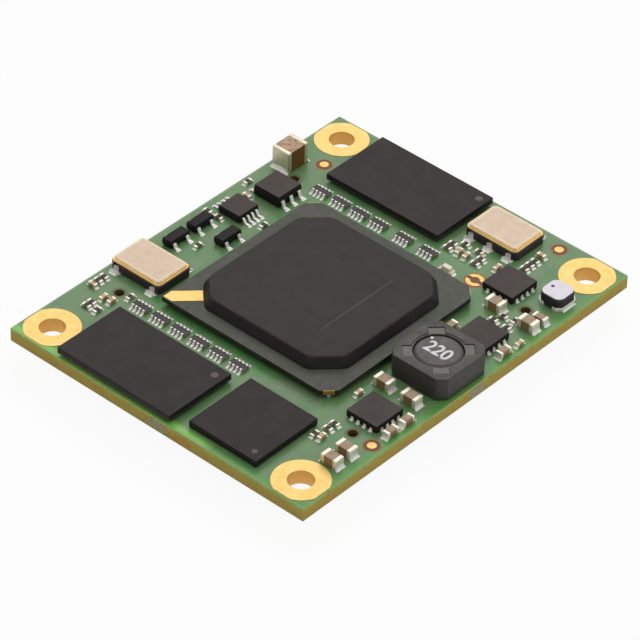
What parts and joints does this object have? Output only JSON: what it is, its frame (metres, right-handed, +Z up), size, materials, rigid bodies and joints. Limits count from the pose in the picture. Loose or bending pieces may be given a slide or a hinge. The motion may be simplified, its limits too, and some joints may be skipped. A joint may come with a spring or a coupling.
{
  "type": "system on module",
  "caption": "Small plug-in computer board with a ball-grid processor, memories, oscillators and a switching supply on top, and two mezzanine connectors underneath.",
  "frame": {"origin": "under the centre of the board, on the plane of the two connectors' mating faces", "axes": "+X along the board's longer side, +Y along its shorter side, +Z up, out of the face that carries the processor"},
  "size_m": [0.05, 0.04, 0.0068],
  "materials": {
    "board": "solder mask over woven laminate",
    "gold": "bright gold plating",
    "laminate": "satin package laminate",
    "mould": "fine matt moulding compound",
    "solder": "bright tin",
    "ceramic_dark": "fired dark ceramic",
    "lid": "satin plated lid",
    "ferrite": "sintered ferrite",
    "copper": "enamelled winding",
    "epoxy": "cast epoxy",
    "white_coat": "printed coat",
    "capacitor": "fired ceramic",
    "small_capacitor": "fired ceramic",
    "resistor": "glazed film",
    "indicator_base": "white laminate",
    "lens": "clear resin",
    "connector_plastic": "moulded, fine texture"
  },
  "bodies": {
    "root": {"circuit_board": "board", "mounting_lands": "gold", "gold_marks": "gold", "processor_substrate": "laminate", "processor_cap": "mould", "processor_corner_marks": "gold", "processor_balls": "solder", "memory_left_body": "mould", "memory_left_base": "laminate", "memory_right_body": "mould", "memory_right_base": "laminate", "memory_balls": "solder", "transceiver_body": "mould", "transceiver_pads": "solder", "oscillator_left_base": "ceramic_dark", "oscillator_left_ring": "gold", "oscillator_left_lid": "lid", "oscillator_left_terminals": "solder", "oscillator_right_base": "ceramic_dark", "oscillator_right_ring": "gold", "oscillator_right_lid": "lid", "oscillator_right_terminals": "solder", "inductor_shield": "ferrite", "inductor_drum_core": "ferrite", "inductor_winding": "copper", "inductor_epoxy": "epoxy", "inductor_terminals": "solder", "small_inductor_body": "ferrite", "small_inductor_coat": "white_coat", "small_inductor_terminals": "solder", "regulator_front_body": "mould", "regulator_middle_body": "mould", "regulator_right_body": "mould", "regulator_pads": "solder", "transistor_left_body": "mould", "transistor_middle_body": "mould", "transistor_inner_body": "mould", "transistor_leads": "solder", "monitor_body": "mould", "monitor_leads": "solder", "driver_body": "mould", "driver_leads": "solder", "bulk_capacitor_body": "capacitor", "bulk_capacitor_ends": "solder", "array_bodies": "resistor", "array_terminals": "solder", "ceramic_capacitors": "capacitor", "ceramic_capacitor_ends": "solder", "small_capacitors": "small_capacitor", "small_capacitor_ends": "solder", "chip_resistors": "resistor", "chip_resistor_ends": "solder", "indicator_base": "indicator_base", "indicator_lens": "lens", "connector_front_housing": "connector_plastic", "connector_back_housing": "connector_plastic", "connector_front_contacts": "gold", "connector_back_contacts": "gold", "decoupling_capacitors": "small_capacitor", "decoupling_capacitor_ends": "solder"}
  },
  "joints": []
}
